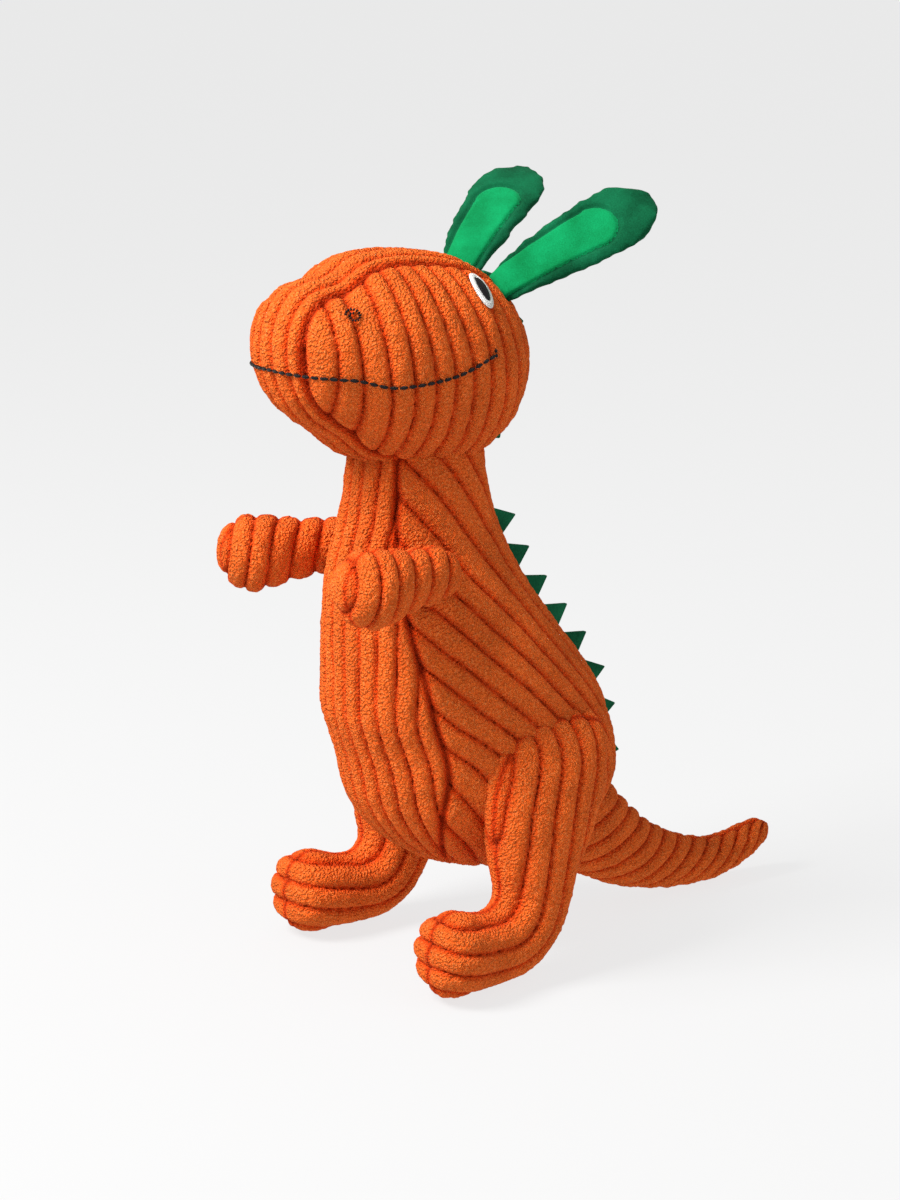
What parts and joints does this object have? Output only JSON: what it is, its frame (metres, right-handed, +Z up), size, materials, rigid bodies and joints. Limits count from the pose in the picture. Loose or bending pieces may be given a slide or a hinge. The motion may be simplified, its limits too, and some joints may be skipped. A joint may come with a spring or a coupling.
{
  "type": "stuffed dinosaur",
  "caption": "Standing stuffed dinosaur in wide-ribbed plush with leaf-shaped ears, felt back spikes, short arms, forward feet and a tapering tail.",
  "frame": {"origin": "on the floor under the middle of the toy's footprint box", "axes": "+Z up, -Y the way the toy faces, +X its left side"},
  "size_m": [0.136, 0.2626, 0.3174],
  "materials": {
    "plush": "ribbed pile, matte",
    "fibre": "loose polyester fibre",
    "felt": "pressed felt",
    "dark_velour": "short pile",
    "light_velour": "short pile",
    "white_thread": "satin stitch",
    "black_thread": "satin stitch",
    "squeaker": "soft vinyl",
    "reed": "moulded"
  },
  "bodies": {
    "body": {"body_side_left": "plush", "body_side_right": "plush", "belly_panel": "plush", "body_stuffing": "fibre", "squeaker_bulb": "squeaker", "squeaker_reed": "reed", "back_spike_1": "felt", "back_spike_2": "felt", "back_spike_3": "felt", "back_spike_4": "felt", "back_spike_5": "felt", "back_spike_6": "felt", "back_spike_7": "felt", "back_spike_8": "felt"},
    "head": {"head_side_left": "plush", "head_side_right": "plush", "head_gusset": "plush", "head_stuffing": "fibre", "mouth_stitching": "black_thread", "eye_white_left": "white_thread", "eye_white_right": "white_thread", "eye_pupil_left": "black_thread", "eye_pupil_right": "black_thread", "nostril_left": "black_thread", "nostril_right": "black_thread", "head_spike_1": "felt", "head_spike_2": "felt", "head_spike_3": "felt", "head_spike_4": "felt"},
    "tail": {"tail_left": "plush", "tail_right": "plush", "tail_stuffing": "fibre"},
    "ear_left": {"ear_back_left": "dark_velour", "ear_rim_left": "dark_velour", "ear_inner_left": "light_velour", "ear_batting_left": "fibre"},
    "arm_left": {"arm_outer_left": "plush", "arm_inner_left": "plush", "arm_stuffing_left": "fibre"},
    "leg_left": {"leg_outer_left": "plush", "leg_inner_left": "plush", "leg_stuffing_left": "fibre"},
    "ear_right": {"ear_back_right": "dark_velour", "ear_rim_right": "dark_velour", "ear_inner_right": "light_velour", "ear_batting_right": "fibre"},
    "arm_right": {"arm_outer_right": "plush", "arm_inner_right": "plush", "arm_stuffing_right": "fibre"},
    "leg_right": {"leg_outer_right": "plush", "leg_inner_right": "plush", "leg_stuffing_right": "fibre"}
  },
  "joints": [
    {"name": "head_nod", "type": "hinge", "parent": "body", "child": "head", "pos_m": [0, -0.061, 0.194], "axis": [1, 0, 0], "range_deg": [-12, 12], "stiffness_Nm_per_rad": 0.6},
    {"name": "tail_wag", "type": "hinge", "parent": "body", "child": "tail", "pos_m": [0, 0.00738, 0.054], "axis": [0, 0, 1], "range_deg": [-20, 20], "stiffness_Nm_per_rad": 0.15},
    {"name": "arm_swing_left", "type": "hinge", "parent": "body", "child": "arm_left", "pos_m": [0.03324, -0.06992, 0.16828], "axis": [0.9247, -0.2028, 0.3222], "range_deg": [-30, 25], "stiffness_Nm_per_rad": 0.03},
    {"name": "leg_swing_left", "type": "hinge", "parent": "body", "child": "leg_left", "pos_m": [0.033, -0.036, 0.08], "axis": [1, 0, 0], "range_deg": [-20, 20], "stiffness_Nm_per_rad": 1.2},
    {"name": "ear_flop_left", "type": "hinge", "parent": "head", "child": "ear_left", "pos_m": [0.0155, -0.02988, 0.27276], "axis": [0.7912, -0.0357, -0.6106], "range_deg": [-15, 25], "stiffness_Nm_per_rad": 0.015},
    {"name": "arm_swing_right", "type": "hinge", "parent": "body", "child": "arm_right", "pos_m": [-0.03324, -0.06992, 0.16828], "axis": [-0.9247, -0.2028, 0.3222], "range_deg": [-25, 30], "stiffness_Nm_per_rad": 0.03},
    {"name": "leg_swing_right", "type": "hinge", "parent": "body", "child": "leg_right", "pos_m": [-0.033, -0.036, 0.08], "axis": [1, 0, 0], "range_deg": [-20, 20], "stiffness_Nm_per_rad": 1.2},
    {"name": "ear_flop_right", "type": "hinge", "parent": "head", "child": "ear_right", "pos_m": [-0.0155, -0.02988, 0.27276], "axis": [0.8955, 0.4357, -0.0908], "range_deg": [-15, 25], "stiffness_Nm_per_rad": 0.015}
  ]
}
